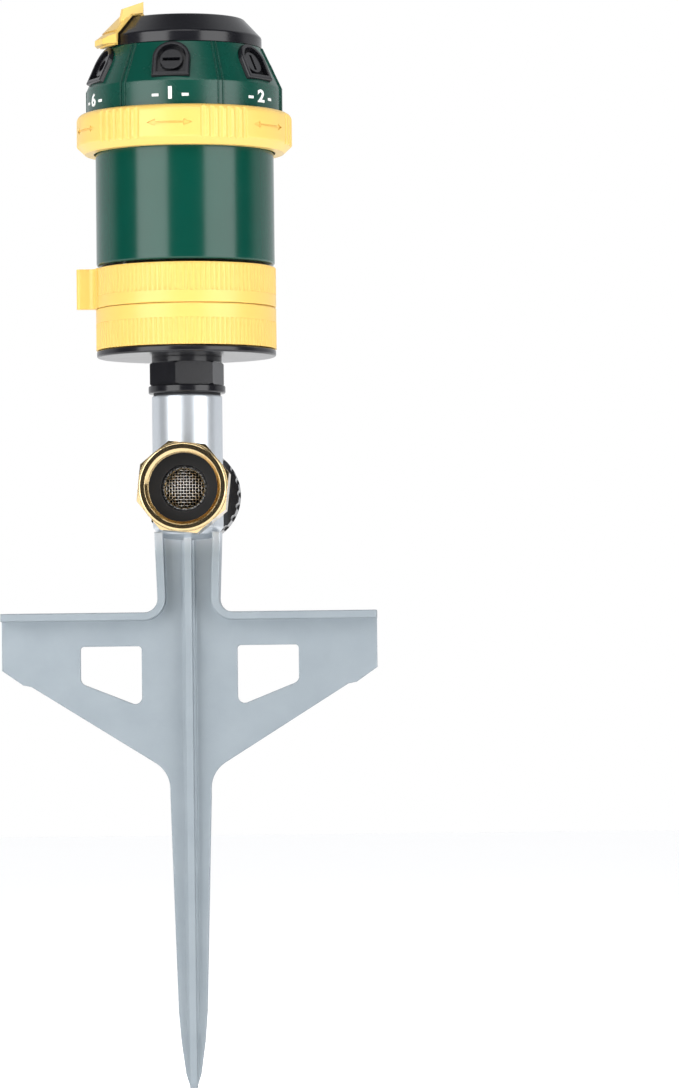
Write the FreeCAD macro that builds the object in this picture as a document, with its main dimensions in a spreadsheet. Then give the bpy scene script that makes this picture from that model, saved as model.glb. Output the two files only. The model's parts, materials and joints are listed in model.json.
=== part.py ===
import FreeCAD, Part
import Sketcher
import math
import os
import re
from fcgear import fcgear, involute

# A turret lawn sprinkler on a step spike.  Millimetres, +Z up.  The origin is on the spike's axis at
# the top of the step plate, where the foot pushes: the ground line.  -Y points out of the hose inlet.

V = FreeCAD.Vector

SIZES = {
    # step spike casting
    "wing_span": 136.4, "plate_thick": 3.0, "flange_thick": 2.8, "flange_depth": 16.0,
    "wing_side": 20.6, "spike_length": 172.4, "rib_thick": 2.8, "rib_depth": 15.4,
    "neck_base": 22.2, "neck_top": 24.0, "neck_height": 29.0, "rim_width": 3.0,
    "blade_half": 7.45, "crotch_depth": 57.9,
    "window_inner": 17.4, "window_outer": 39.7, "window_top": 12.1,
    "riser_radius": 12.8, "riser_base": 26.2, "riser_top": 78.8, "riser_bore": 10.4,
    # cross pipe and its fittings, measured along Y from the riser's axis
    "pipe_height": 44.0, "pipe_radius": 12.4, "pipe_reach": 19.8, "pipe_bore": 9.3,
    "nut_back": 20.2, "nut_front": 39.0, "nut_flats": 32.0, "nut_rim": 15.8,
    "hose_minor": 12.5, "hose_major": 13.5, "hose_pitch": 2.209, "washer_bore": 8.2,
    "outlet_crest": 13.0, "outlet_root": 12.2, "outlet_end": 33.0,
    "cap_radius": 17.7, "cap_back": 38.0,
    # inlet adapter and base
    "adapter_flats": 23.9, "adapter_base": 79.5, "adapter_flange": 14.0, "hex_base": 82.4,
    "hex_top": 90.8, "boss_radius": 12.75, "base_bottom": 92.8, "base_top": 95.3,
    "base_radius": 32.6, "guide_radius": 29.4, "guide_top": 110.0,
    "stem_radius": 6.5, "stem_bore": 4.5,
    # stop collars
    "collar_radius": 32.8, "lower_base": 95.5, "lower_top": 110.4, "upper_base": 110.6,
    "upper_top": 125.2, "knurl_height": 9.6, "tab_reach": 39.8, "tab_thick": 3.4,
    "lower_tab_angle": 60.0, "upper_tab_angle": 183.0,
    # barrel
    "barrel_radius": 32.45, "barrel_wall": 2.05, "barrel_base": 126.2, "barrel_top": 168.0,
    "floor_top": 129.4, "gear_plate_base": 143.4, "gear_plate_top": 145.4,
    "manifold_base": 158.0, "manifold_top": 161.0, "port_radius": 21.0, "duct_bore": 2.6,
    # drive gears
    "sun_module": 0.8, "train_module": 0.5, "shaft_radius": 1.0, "mesh_slack": 0.1,
    "shaft_a_angle": -82.0, "trip_radius": 24.0, "trip_angle": 208.0, "trip_shaft": 1.2,
    # turret
    "ring_radius": 39.2, "ring_base": 167.0, "ring_top": 181.4, "turret_radius": 35.4,
    "turret_wall": 2.4, "cone_base": 190.2, "cone_top": 205.0, "cone_radius": 28.5,
    "bezel_width": 13.6, "bezel_height": 14.3, "nozzle_radius": 4.15, "first_nozzle": -95.0,
    "nozzle_lift": 0.5, "turret_cap_base": 205.2, "band_top": 209.0, "shoulder_radius": 22.2,
    "shoulder_height": 215.8, "cap_top": 217.2, "dish_height": 213.8, "deflector_angle": -155.0,
}

doc = FreeCAD.newDocument("turret_sprinkler")
sheet = doc.addObject("Spreadsheet::Sheet", "dims")
for row, (alias, value) in enumerate(SIZES.items(), start=1):
    sheet.set(f"A{row}", alias)
    sheet.set(f"B{row}", str(value))
    sheet.setAlias(f"B{row}", alias)
doc.recompute()

pieces = []


def size(alias):
    """The value that the sheet holds under an alias."""
    return float(getattr(sheet, alias))


def bound(text):
    """An expression over the sheet: the sheet's name goes before each alias."""
    return re.sub(r"[a-z]+(_[a-z]+)+", r"dims.\g<0>", str(text))


def around(radius, angle, height=0.0):
    """The point at a radius, an angle in degrees round Z, and a height."""
    turn = math.radians(angle)
    return V(radius * math.cos(turn), radius * math.sin(turn), height)


def spun(angle):
    return FreeCAD.Rotation(V(0, 0, 1), angle)


# ---------------------------------------------------------------- features

def keep(item, label, place=None):
    """Name a finished piece, put it in its place and list it for export."""
    item.Label = label
    if place is not None:
        item.Placement = place
    pieces.append(item)
    return item


def origin_feature(body, role):
    return [item for item in body.Origin.OriginFeatures if item.Role == role][0]


def new_sketch(body, plane, lift):
    sketch = body.newObject("Sketcher::SketchObject", "outline")
    sketch.AttachmentSupport = [(origin_feature(body, plane), "")]
    sketch.MapMode = "FlatFace"
    sketch.setExpression("AttachmentOffset.Base.z", bound(lift))
    return sketch


def add_loop(sketch, points):
    """Draw a closed outline; each corner is bound to expressions for its two coordinates."""
    count = len(points)
    start = []
    for index in range(count):
        turn = 2 * math.pi * index / count
        start.append(V(30 * math.cos(turn), 30 * math.sin(turn), 0))
    lines = []
    for index in range(count):
        line = Part.LineSegment(start[index], start[(index + 1) % count])
        lines.append(sketch.addGeometry(line, False))
    for index, line in enumerate(lines):
        after = lines[(index + 1) % count]
        sketch.addConstraint(Sketcher.Constraint("Coincident", line, 2, after, 1))
    for line, (across, up) in zip(lines, points):
        bind_point(sketch, line, 1, across, up)


def bind_point(sketch, shape, corner, across, up):
    for kind, text in (("DistanceX", across), ("DistanceY", up)):
        number = sketch.addConstraint(Sketcher.Constraint(kind, -1, 1, shape, corner, 1.0))
        sketch.setExpression(f"Constraints[{number}]", bound(text))


def add_circle(sketch, across, up, radius):
    circle = sketch.addGeometry(Part.Circle(V(1, 1, 0), V(0, 0, 1), 1.0), False)
    bind_point(sketch, circle, 3, across, up)
    number = sketch.addConstraint(Sketcher.Constraint("Radius", circle, 1.0))
    sketch.setExpression(f"Constraints[{number}]", bound(radius))


def turned_feature(body, kind, points, angle=None):
    """A Revolution or Groove about Z of an outline of (radius, height) corners."""
    sketch = new_sketch(body, "XZ_Plane", 0)
    add_loop(sketch, points)
    feature = body.newObject("PartDesign::" + kind, "turn")
    feature.Profile = sketch
    feature.ReferenceAxis = (sketch, ["V_Axis"])
    feature.Angle = 360 if angle is None else angle
    feature.Midplane = angle is not None
    return feature


def turned(points):
    """A new body that is one revolved outline."""
    body = doc.addObject("PartDesign::Body", "body")
    turned_feature(body, "Revolution", points)
    return body


def prism_feature(body, kind, sketch, length, symmetric=False):
    """A Pad or Pocket of a sketch, straight or symmetric about its plane."""
    feature = body.newObject("PartDesign::" + kind, "prism")
    feature.Profile = sketch
    feature.setExpression("Length", bound(length))
    feature.SideType = "Symmetric" if symmetric else "One side"
    return feature


def pad_loop(body, plane, points, length, lift=0, symmetric=False):
    sketch = new_sketch(body, plane, lift)
    add_loop(sketch, points)
    return prism_feature(body, "Pad", sketch, length, symmetric)


def pocket_loop(body, plane, points, length, lift=0, symmetric=False):
    sketch = new_sketch(body, plane, lift)
    add_loop(sketch, points)
    return prism_feature(body, "Pocket", sketch, length, symmetric)


def drill(body, spots, radius, top, depth):
    """Round holes down from a height, at (across, up) spots."""
    sketch = new_sketch(body, "XY_Plane", top)
    for across, up in spots:
        add_circle(sketch, across, up, radius)
    return prism_feature(body, "Pocket", sketch, depth)


def repeat(body, features, count):
    """A polar pattern about Z, which becomes the body's tip."""
    pattern = body.newObject("PartDesign::PolarPattern", "pattern")
    pattern.Originals = features
    pattern.Axis = (origin_feature(body, "Z_Axis"), [""])
    pattern.Angle = 360
    pattern.Occurrences = count
    pattern.Refine = False
    body.Tip = pattern
    return pattern


def round_edges(body, radius, test, kind="Fillet"):
    """Fillet or chamfer the edges of the body's tip that pass a test."""
    doc.recompute()
    tip = body.Tip
    names = [f"Edge{n}" for n, edge in enumerate(tip.Shape.Edges, start=1) if test(edge)]
    feature = body.newObject("PartDesign::" + kind, "rounding")
    feature.Base = (tip, names)
    setattr(feature, "Radius" if kind == "Fillet" else "Size", radius)
    body.Tip = feature
    return feature


def on_circle(radius, height, slack=0.02):
    """A test for circular edges about Z of a given radius and height."""
    def test(edge):
        curve = edge.Curve
        if not isinstance(curve, Part.Circle) or abs(curve.Axis.z) < 0.99:
            return False
        centre = curve.Center
        near = math.hypot(centre.x, centre.y) < slack and abs(centre.z - height) < slack
        return near and abs(curve.Radius - radius) < slack
    return test


def along(direction, spots, slack=0.05):
    """A test for straight edges parallel to a direction that pass through one of the spots."""
    def test(edge):
        if not isinstance(edge.Curve, Part.Line):
            return False
        if abs(edge.Curve.Direction.dot(direction)) < 0.999:
            return False
        middle = edge.CenterOfMass
        for spot in spots:
            gap = middle - spot
            if (gap - direction * gap.dot(direction)).Length < slack:
                return True
        return False
    return test


def any_of(*tests):
    return lambda edge: any(test(edge) for test in tests)


def cylinder(label, radius, low, high, spot=(0, 0)):
    """A plain round pin between two heights."""
    pin = doc.addObject("Part::Cylinder", "pin")
    pin.setExpression("Radius", bound(radius))
    pin.setExpression("Height", bound(f"({high}) - ({low})"))
    pin.setExpression("Placement.Base.z", bound(low))
    pin.Placement.Base.x = spot[0]
    pin.Placement.Base.y = spot[1]
    return keep(pin, label)


def inward(start, reach=0):
    """A place whose local +Z points out of the hose inlet, along -Y."""
    return FreeCAD.Placement(V(0, reach, size(start)), FreeCAD.Rotation(V(1, 0, 0), 90))


# ---------------------------------------------------------------- step spike

def mirrored(points):
    """An outline closed by its own mirror image across the vertical axis."""
    return points + [(f"-({across})", up) for across, up in reversed(points)]


def tapered_spike(half):
    """The lower spike's outline, from its widest part down to the blunt tip."""
    return [
        (f"{half}", "-67"),
        (f"{half} - 2.25", "-spike_length + 28"),
        (f"{half} - 3.15", "-spike_length + 16.8"),
        (f"{half} - 4.75", "-spike_length + 5.1"),
        ("1.1", "-spike_length"),
    ]


def step_spike():
    """One casting: plus-section spike, step wings, neck, riser tube and cross pipe."""
    body = doc.addObject("PartDesign::Body", "body")
    half = "wing_span / 2"
    plate = [
        ("neck_top / 2", "neck_height"), ("neck_base / 2", "5"), ("neck_base / 2", "0"),
        (half, "0"), (half, "-wing_side"), (f"{half} - 7.6", "-wing_side - 5.3"),
        (f"{half} - 10.6", "-wing_side - 5.9"), ("blade_half", "-crotch_depth"),
    ] + tapered_spike("blade_half")
    pad_loop(body, "XZ_Plane", mirrored(plate), "plate_thick", symmetric=True)
    inner, outer, top = size("window_inner"), size("window_outer"), -size("window_top")
    window = [
        ("window_inner", "-window_top"), ("window_outer", "-window_top"),
        ("window_outer", "-window_top - 13.3"), ("window_inner", "-window_top - 22.2"),
    ]
    for side in ("", "-"):
        outline = [(f"{side}{across}", up) for across, up in window]
        pocket_loop(body, "XZ_Plane", outline, "plate_thick + 2", symmetric=True)
    corners = []
    soft = []
    for side in (-1, 1):
        corners += [V(side * inner, 0, top), V(side * outer, 0, top)]
        soft += [V(side * outer, 0, top - 13.3), V(side * inner, 0, top - 22.2)]
    round_edges(body, 1.3, along(V(0, 1, 0), corners))
    round_edges(body, 2.5, along(V(0, 1, 0), soft))
    crotch = [V(side * size("blade_half"), 0, -size("crotch_depth")) for side in (-1, 1)]
    round_edges(body, 11, along(V(0, 1, 0), crotch))
    for side in ("", "-"):
        rim = [
            (f"{side}wing_span / 2", "0"), (f"{side}wing_span / 2", "-flange_thick"),
            (f"{side}(neck_base / 2 - rim_width)", "-flange_thick"),
            (f"{side}(neck_top / 2 - rim_width)", "neck_height"),
            (f"{side}neck_top / 2", "neck_height"), (f"{side}neck_base / 2", "5"),
            (f"{side}neck_base / 2", "0"),
        ]
        pad_loop(body, "XZ_Plane", rim, "flange_depth", symmetric=True)
    turn_in = size("neck_base") / 2 - size("rim_width")
    elbow = [V(side * turn_in, 0, -size("flange_thick")) for side in (-1, 1)]
    round_edges(body, 7.9, along(V(0, 1, 0), elbow))
    rib = [("rib_depth / 2", "neck_height"), ("rib_depth / 2", "-30")] + tapered_spike("7.2")
    pad_loop(body, "YZ_Plane", mirrored(rib), "rib_thick", symmetric=True)
    foot = [
        ("3.4", "neck_height"), ("3.4", "-67"), ("2.6", "-spike_length + 28"),
        ("1.2", "-spike_length + 17")]
    pad_loop(body, "YZ_Plane", mirrored(foot), "rib_thick + 1.9", symmetric=True)
    bend = [V(side * size("neck_base") / 2, 0, 0) for side in (-1, 1)]
    round_edges(body, 4.9, along(V(0, 1, 0), bend))
    return body


def riser(body):
    """The riser tube and cross pipe on top of the neck, bored through, with the outlet's thread."""
    turned_feature(body, "Revolution", [
        ("0", "riser_base"), ("riser_radius - 5.4", "riser_base + 0.5"),
        ("riser_radius - 1.8", "riser_base + 2"), ("riser_radius", "riser_base + 4.6"),
        ("riser_radius", "riser_top"), ("0", "riser_top")])
    round_edges(body, 0.8, on_circle(size("riser_radius"), size("riser_top")))
    pipe = new_sketch(body, "XZ_Plane", 0)
    add_circle(pipe, "0", "pipe_height", "pipe_radius")
    prism_feature(body, "Pad", pipe, "2 * pipe_reach", symmetric=True)
    neck = new_sketch(body, "XZ_Plane", "-outlet_end")
    add_circle(neck, "0", "pipe_height", "outlet_root")
    prism_feature(body, "Pad", neck, "outlet_end")
    for turn in range(5):
        crest = new_sketch(body, "XZ_Plane", f"-outlet_end + 0.6 + {turn} * hose_pitch")
        add_circle(crest, "0", "pipe_height", "outlet_crest")
        prism_feature(body, "Pad", crest, "hose_pitch / 2")
    bore = new_sketch(body, "XZ_Plane", "-outlet_end - 1")
    add_circle(bore, "0", "pipe_height", "pipe_bore")
    pocket = prism_feature(body, "Pocket", bore, "outlet_end + pipe_reach + 2")
    pocket.Reversed = True
    drill(body, [("0", "0")], "riser_bore", "riser_top", "riser_top - pipe_height + 2")
    return body


# ---------------------------------------------------------------- hose inlet

def hose_nut():
    """Brass swivel nut: octagon with a round front rim, female hose thread as ring grooves."""
    body = doc.addObject("PartDesign::Body", "body")
    corners = []
    for index in range(8):
        turn = f"{22.5 + 45 * index}"
        reach = "nut_flats / 2 / cos(22.5)"
        corners.append((f"{reach} * cos({turn})", f"{reach} * sin({turn})"))
    pad_loop(body, "XY_Plane", corners, "nut_front - nut_back - 2.4", lift="nut_back")
    turned_feature(body, "Groove", [
        ("nut_flats / 2 + 0.1", "nut_front - 2.4"), ("nut_flats / 2 + 2", "nut_front - 2.4"),
        ("nut_flats / 2 + 2", "nut_front - 4.3")])
    turned_feature(body, "Groove", [
        ("nut_flats / 2 + 0.1", "nut_back"), ("nut_flats / 2 + 2", "nut_back"),
        ("nut_flats / 2 + 2", "nut_back + 1.9")])
    rim = new_sketch(body, "XY_Plane", "nut_back")
    add_circle(rim, "0", "0", "nut_rim")
    prism_feature(body, "Pad", rim, "nut_front - nut_back")
    round_edges(body, 0.7, on_circle(size("nut_rim"), size("nut_front")))
    inside = [
        ("0", "nut_front + 1"), ("hose_major + 1.1", "nut_front + 1"), ("hose_major", "nut_front - 0.1"),
        ("hose_minor", "nut_front - 1.1")]
    for turn in range(3):
        foot = f"nut_front - 1.1 - {turn} * hose_pitch"
        inside += [
            ("hose_minor", f"{foot} - 1.1"), ("hose_major", f"{foot} - 1.4"),
            ("hose_major", f"{foot} - 1.9"), ("hose_minor", f"{foot} - hose_pitch")]
    inside += [
        ("hose_minor", "nut_front - 8.6"), ("hose_major + 0.1", "nut_front - 8.6"),
        ("hose_major + 0.1", "nut_back + 1.2"), ("pipe_bore + 0.4", "nut_back + 1.2"),
        ("pipe_bore + 0.4", "nut_back - 1"), ("0", "nut_back - 1")]
    turned_feature(body, "Groove", inside)
    tightened = FreeCAD.Placement(V(0, 0, 0), spun(-6))
    return keep(body, "hose_nut", inward("pipe_height").multiply(tightened))


def inlet_tailpiece():
    """Brass tail pressed into the cross pipe; its flange holds the swivel nut."""
    body = turned([
        ("7.0", "pipe_reach - 12"), ("pipe_bore - 0.05", "pipe_reach - 12"),
        ("pipe_bore - 0.05", "nut_back + 1.4"), ("hose_major - 0.3", "nut_back + 1.4"),
        ("hose_major - 0.3", "nut_back + 3"), ("7.0", "nut_back + 3")])
    return keep(body, "inlet_tailpiece", inward("pipe_height"))


def inlet_screen():
    """Thin domed screen with a flat rim that the hose washer clamps."""
    def ball(radius):
        item = doc.addObject("Part::Sphere", "ball")
        item.Radius = radius
        item.Angle1 = 0
        item.setExpression("Placement.Base.z", bound("nut_back + 2"))
        return item
    rim = doc.addObject("Part::Cylinder", "rim")
    rim.Radius = 11.5
    rim.Height = 0.4
    rim.setExpression("Placement.Base.z", bound("nut_back + 3.05"))
    outside = doc.addObject("Part::Fuse", "outside")
    outside.Base, outside.Tool = ball(8.0), rim
    foot = doc.addObject("Part::Cylinder", "foot")
    foot.Radius = 8.5
    foot.Height = 3
    foot.setExpression("Placement.Base.z", bound("nut_back + 0.05"))
    inside = doc.addObject("Part::Fuse", "inside")
    inside.Base, inside.Tool = ball(7.6), foot
    screen = doc.addObject("Part::Cut", "screen")
    screen.Base, screen.Tool = outside, inside
    return keep(screen, "inlet_screen", inward("pipe_height"))


def inlet_washer():
    """Black hose washer between the screen's rim and the hose."""
    body = turned([
        ("washer_bore", "nut_back + 3.5"), ("hose_major - 0.2", "nut_back + 3.5"),
        ("hose_major - 0.2", "nut_back + 6.3"), ("washer_bore", "nut_back + 6.3")])
    round_edges(body, 0.4, on_circle(size("washer_bore"), size("nut_back") + 6.3))
    return keep(body, "inlet_washer", inward("pipe_height"))


def outlet_cap():
    """Knurled cap over the rear outlet, with ring threads just wider than the outlet's crests."""
    inside = [("outlet_crest + 0.9", "-cap_back + 2.4"), ("outlet_crest + 0.9", "-cap_back + 5.2")]
    for turn in range(3):
        foot = f"-cap_back + 6.2 + {turn} * hose_pitch"
        inside += [
            ("outlet_crest + 0.9", f"{foot}"), ("outlet_crest + 0.35", f"{foot} + 0.3"),
            ("outlet_crest + 0.35", f"{foot} + 0.7"), ("outlet_crest + 0.9", f"{foot} + 1.0")]
    body = turned(inside + [
        ("outlet_crest + 0.9", "-pipe_reach - 0.5"), ("cap_radius", "-pipe_reach - 0.5"),
        ("cap_radius", "-cap_back"), ("0", "-cap_back"), ("0", "-cap_back + 2.4")])
    round_edges(body, 1.2, on_circle(size("cap_radius"), -size("cap_back")))
    flutes = new_sketch(body, "XY_Plane", "-pipe_reach")
    add_circle(flutes, "cap_radius + 0.7", "0", "1.35")
    repeat(body, [prism_feature(body, "Pocket", flutes, "cap_back - pipe_reach - 2.2")], 24)
    return keep(body, "outlet_cap", inward("pipe_height"))


def outlet_gasket():
    body = turned([
        ("0", "-cap_back + 2.45"), ("outlet_crest - 0.1", "-cap_back + 2.45"),
        ("outlet_crest - 0.1", "-outlet_end - 0.05"), ("0", "-outlet_end - 0.05")])
    return keep(body, "outlet_gasket", inward("pipe_height"))


# ---------------------------------------------------------------- base and collars

def riser_gasket():
    body = turned([
        ("10.45", "riser_top + 0.05"), ("12.2", "riser_top + 0.05"),
        ("12.2", "adapter_base - 0.05"), ("10.45", "adapter_base - 0.05")])
    return keep(body, "riser_gasket")


def inlet_adapter():
    """Hexagonal adapter screwed into the riser, with a spigot up into the base."""
    body = turned([
        ("6", "riser_top - 12"), ("riser_bore - 0.1", "riser_top - 12"),
        ("riser_bore - 0.1", "adapter_base"), ("adapter_flange", "adapter_base"),
        ("adapter_flange", "hex_base"), ("11.4", "hex_base"), ("11.4", "hex_top"),
        ("boss_radius", "hex_top"), ("boss_radius", "base_bottom - 0.05"),
        ("8.5", "base_bottom - 0.05"), ("8.5", "base_top + 3.5"), ("6", "base_top + 3.5")])
    round_edges(body, 0.6, any_of(
        on_circle(size("adapter_flange"), size("adapter_base")),
        on_circle(size("adapter_flange"), size("hex_base"))))
    hexagon = []
    for index in range(6):
        turn = f"{-104.5 + 60 * index}"
        reach = "adapter_flats / 2 / cos(30)"
        hexagon.append((f"{reach} * cos({turn})", f"{reach} * sin({turn})"))
    sketch = new_sketch(body, "XY_Plane", "hex_base")
    add_loop(sketch, hexagon)
    add_circle(sketch, "0", "0", "6.5")
    prism_feature(body, "Pad", sketch, "hex_top - hex_base")
    for end, slope in (("hex_top", -1), ("hex_base", 1)):
        turned_feature(body, "Groove", [
            ("adapter_flats / 2 + 1.0", end), ("adapter_flats / 2 + 3", end),
            ("adapter_flats / 2 + 3", f"{end} + {slope} * 1.2")])
    return keep(body, "inlet_adapter")


def base_housing():
    """Base plate with a wall that guides the collars and a hub that carries the stem."""
    body = turned([
        ("8.6", "base_bottom"), ("base_radius", "base_bottom"), ("base_radius", "base_top"),
        ("guide_radius", "base_top"), ("guide_radius", "guide_top"),
        ("guide_radius - 2.4", "guide_top"), ("guide_radius - 2.4", "base_top + 1.6"),
        ("10", "base_top + 1.6"), ("10", "upper_top - 0.7"),
        ("stem_radius + 0.1", "upper_top - 0.7"), ("stem_radius + 0.1", "base_top + 5.7"),
        ("8.6", "base_top + 5.7")])
    round_edges(body, 0.7, any_of(
        on_circle(size("base_radius"), size("base_bottom")),
        on_circle(size("base_radius"), size("base_top"))))
    return keep(body, "base_housing")


def center_stem():
    """Hollow stem that feeds the barrel and carries it; grooves for the O-ring and the clip."""
    body = turned([
        ("stem_bore", "base_top + 3.6"), ("8.4", "base_top + 3.6"), ("8.4", "base_top + 5.6"),
        ("stem_radius", "base_top + 5.6"), ("stem_radius", "gear_plate_base + 0.3"),
        ("stem_radius - 1", "gear_plate_base + 0.3"), ("stem_radius - 1", "gear_plate_base + 1.7"),
        ("stem_radius", "gear_plate_base + 1.7"), ("stem_radius", "gear_plate_top + 0.2"),
        ("stem_radius - 0.9", "gear_plate_top + 0.2"), ("stem_radius - 0.9", "gear_plate_top + 1.0"),
        ("stem_radius", "gear_plate_top + 1.0"), ("stem_radius", "gear_plate_top + 1.6"),
        ("stem_bore", "gear_plate_top + 1.6")])
    return keep(body, "center_stem")


def o_ring(label, radius, thick, height):
    ring = doc.addObject("Part::Torus", "ring")
    ring.setExpression("Radius1", bound(radius))
    ring.Radius2 = thick
    ring.setExpression("Placement.Base.z", bound(height))
    return keep(ring, label)


def stem_clip():
    """Open retaining ring in the stem's upper groove."""
    body = turned([
        ("stem_radius - 0.8", "gear_plate_top + 0.3"), ("stem_radius + 1.4", "gear_plate_top + 0.3"),
        ("stem_radius + 1.4", "gear_plate_top + 0.9"), ("stem_radius - 0.8", "gear_plate_top + 0.9")])
    gap = [("0", "-2.2"), ("12", "-2.2"), ("12", "2.2"), ("0", "2.2")]
    pocket_loop(body, "XY_Plane", gap, "4", lift="gear_plate_top + 2")
    return keep(body, "stem_clip")


def thrust_washer():
    body = turned([
        ("stem_radius + 0.1", "upper_top - 0.65"), ("9.5", "upper_top - 0.65"),
        ("9.5", "upper_top"), ("stem_radius + 0.1", "upper_top")])
    return keep(body, "thrust_washer")


KNURLS = 108


def tabbed_collar(body, base, top, knurl_base):
    """Add the outer tab, its blends and the knurl grooves to a collar on local +X."""
    tab = [
        ("collar_radius - 1", "-tab_thick / 2"), ("tab_reach", "-tab_thick / 2"),
        ("tab_reach", "tab_thick / 2"), ("collar_radius - 1", "tab_thick / 2")]
    grooves = new_sketch(body, "XY_Plane", f"{knurl_base} + knurl_height")
    add_circle(grooves, "collar_radius + 0.25", "0", "0.65")
    repeat(body, [prism_feature(body, "Pocket", grooves, "knurl_height")], KNURLS)
    turned_feature(body, "Revolution", [
        ("collar_radius - 1", base), ("collar_radius + 0.25", base),
        ("collar_radius + 0.25", top), ("collar_radius - 1", top)], angle=26)
    pad_loop(body, "XY_Plane", tab, f"({top}) - ({base})", lift=base)
    doc.recompute()
    reach = size("tab_reach")
    half = size("tab_thick") / 2
    root = math.sqrt((size("collar_radius") + 0.25) ** 2 - half ** 2)
    round_edges(body, 1.3, along(V(0, 0, 1), [V(reach, -half, 0), V(reach, half, 0)]))
    round_edges(body, 2.6, along(V(0, 0, 1), [V(root, -half, 0), V(root, half, 0)]))
    return body


def lower_collar():
    """Lower stop collar: its rim guides the upper collar and its arm reaches up to the trip."""
    body = turned([
        ("guide_radius + 0.3", "lower_base"), ("collar_radius", "lower_base"),
        ("collar_radius", "lower_top"), ("guide_radius + 1.3", "lower_top"),
        ("guide_radius + 1.3", "lower_top + 2"), ("guide_radius + 0.3", "lower_top + 2")])
    round_edges(body, 0.5, on_circle(size("collar_radius"), size("lower_top")))
    tabbed_collar(body, "lower_base", "lower_top", "lower_base")
    arm = [
        ("guide_radius - 0.9", "-1.8"), ("guide_radius + 1.05", "-1.8"),
        ("guide_radius + 1.05", "1.8"), ("guide_radius - 0.9", "1.8")]
    pad_loop(body, "XY_Plane", arm, "upper_top - lower_top - 1.8", lift="lower_top + 0.1")
    turn = FreeCAD.Placement(V(0, 0, 0), spun(size("lower_tab_angle")))
    return keep(body, "lower_collar", turn)


def upper_collar():
    """Upper stop collar with an inner lug that the trip meets."""
    body = turned([
        ("guide_radius + 1.6", "upper_base"), ("collar_radius", "upper_base"),
        ("collar_radius", "upper_top"), ("guide_radius + 1.6", "upper_top")])
    round_edges(body, 0.5, any_of(
        on_circle(size("collar_radius"), size("upper_top")),
        on_circle(size("collar_radius"), size("upper_base"))))
    tabbed_collar(body, "upper_base", "upper_top", "upper_top - 0.6 - knurl_height")
    lug = [
        ("guide_radius - 0.9", "-1.8"), ("guide_radius + 2", "-1.8"),
        ("guide_radius + 2", "1.8"), ("guide_radius - 0.9", "1.8")]
    pad_loop(body, "XY_Plane", lug, "upper_top - upper_base - 3.4", lift="upper_base + 2.6")
    turn = FreeCAD.Placement(V(0, 0, 0), spun(size("upper_tab_angle")))
    return keep(body, "upper_collar", turn)


# ---------------------------------------------------------------- gear train

SUN_TEETH = 30
WHEEL_TEETH = 36
PINION_TEETH = 12


def gear_blank(module, teeth, low, high):
    """An involute spur gear between two heights, with a tooth on local +X."""
    builder = fcgear.FCWireBuilder()
    involute.CreateExternalGear(builder, module, teeth, 20, filletCoeff=0.3)
    wire = Part.Wire([piece.toShape() for piece in builder.wire])
    wire.translate(V(0, 0, low))
    return Part.Face(wire).extrude(V(0, 0, high - low))


def meshed_turn(turn, teeth, direction, next_teeth):
    """How far the next gear is turned so that its gap faces the tooth of the one before."""
    return direction + 180 + 180 / next_teeth - (turn - direction) * teeth / next_teeth


def gear_radius():
    """Both gear shafts lie at this radius, so that the first pinion meshes with the sun gear."""
    return (SUN_TEETH + PINION_TEETH) * size("sun_module") / 2 + size("mesh_slack")


def shaft_spots():
    """Shaft A is set by its angle; shaft B is one wheel-and-pinion distance round from it."""
    radius = gear_radius()
    apart = (WHEEL_TEETH + PINION_TEETH) * size("train_module") / 2 + size("mesh_slack")
    step = 2 * math.degrees(math.asin(apart / 2 / radius))
    angle = size("shaft_a_angle")
    return around(radius, angle), around(radius, angle - step)


def solid_piece(label, shape, place):
    item = doc.addObject("Part::Feature", label)
    item.Shape = shape
    return keep(item, label, place)


def sun_gear():
    low = size("floor_top") + 0.6
    blank = gear_blank(size("sun_module"), SUN_TEETH, low, low + 4)
    bore = Part.makeCylinder(size("stem_radius") + 0.03, 8, V(0, 0, low - 2))
    solid_piece("sun_gear", blank.cut(bore), FreeCAD.Placement())


def compound_gear(label, pinion_module, low, spot, turn):
    """A pinion under a wheel, free on its shaft."""
    pinion_top = low + (4.4 if pinion_module > 0.6 else 3.0)
    wheel_low = pinion_top + 0.3 if pinion_module > 0.6 else low + 3.0
    pinion = gear_blank(pinion_module, PINION_TEETH, low, wheel_low)
    wheel = gear_blank(size("train_module"), WHEEL_TEETH, wheel_low, wheel_low + 2.2)
    bore = Part.makeCylinder(size("shaft_radius") + 0.05, 14, V(0, 0, low - 2))
    shape = pinion.fuse(wheel).cut(bore).removeSplitter()
    solid_piece(label, shape, FreeCAD.Placement(spot, spun(turn)))
    return wheel_low


def turbine(low, spot, turn):
    """Water turbine: pinion below, shaft through the gear plate, ten flat blades above."""
    shaft = Part.makeCylinder(size("shaft_radius"), 15.6, V(0, 0, low - 0.1))
    pinion = gear_blank(size("train_module"), PINION_TEETH, low, low + 2.2)
    wheel_low = size("gear_plate_top") + 3.6
    parts = [pinion, Part.makeCylinder(2.8, 4.6, V(0, 0, wheel_low))]
    for blade in range(10):
        fin = Part.makeBox(6.0, 0.7, 4.6, V(2.2, -0.35, wheel_low))
        fin.rotate(V(0, 0, 0), V(0, 0, 1), 36 * blade)
        parts.append(fin)
    shape = shaft.fuse(parts).removeSplitter()
    solid_piece("turbine", shape, FreeCAD.Placement(spot, spun(turn)))


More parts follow.
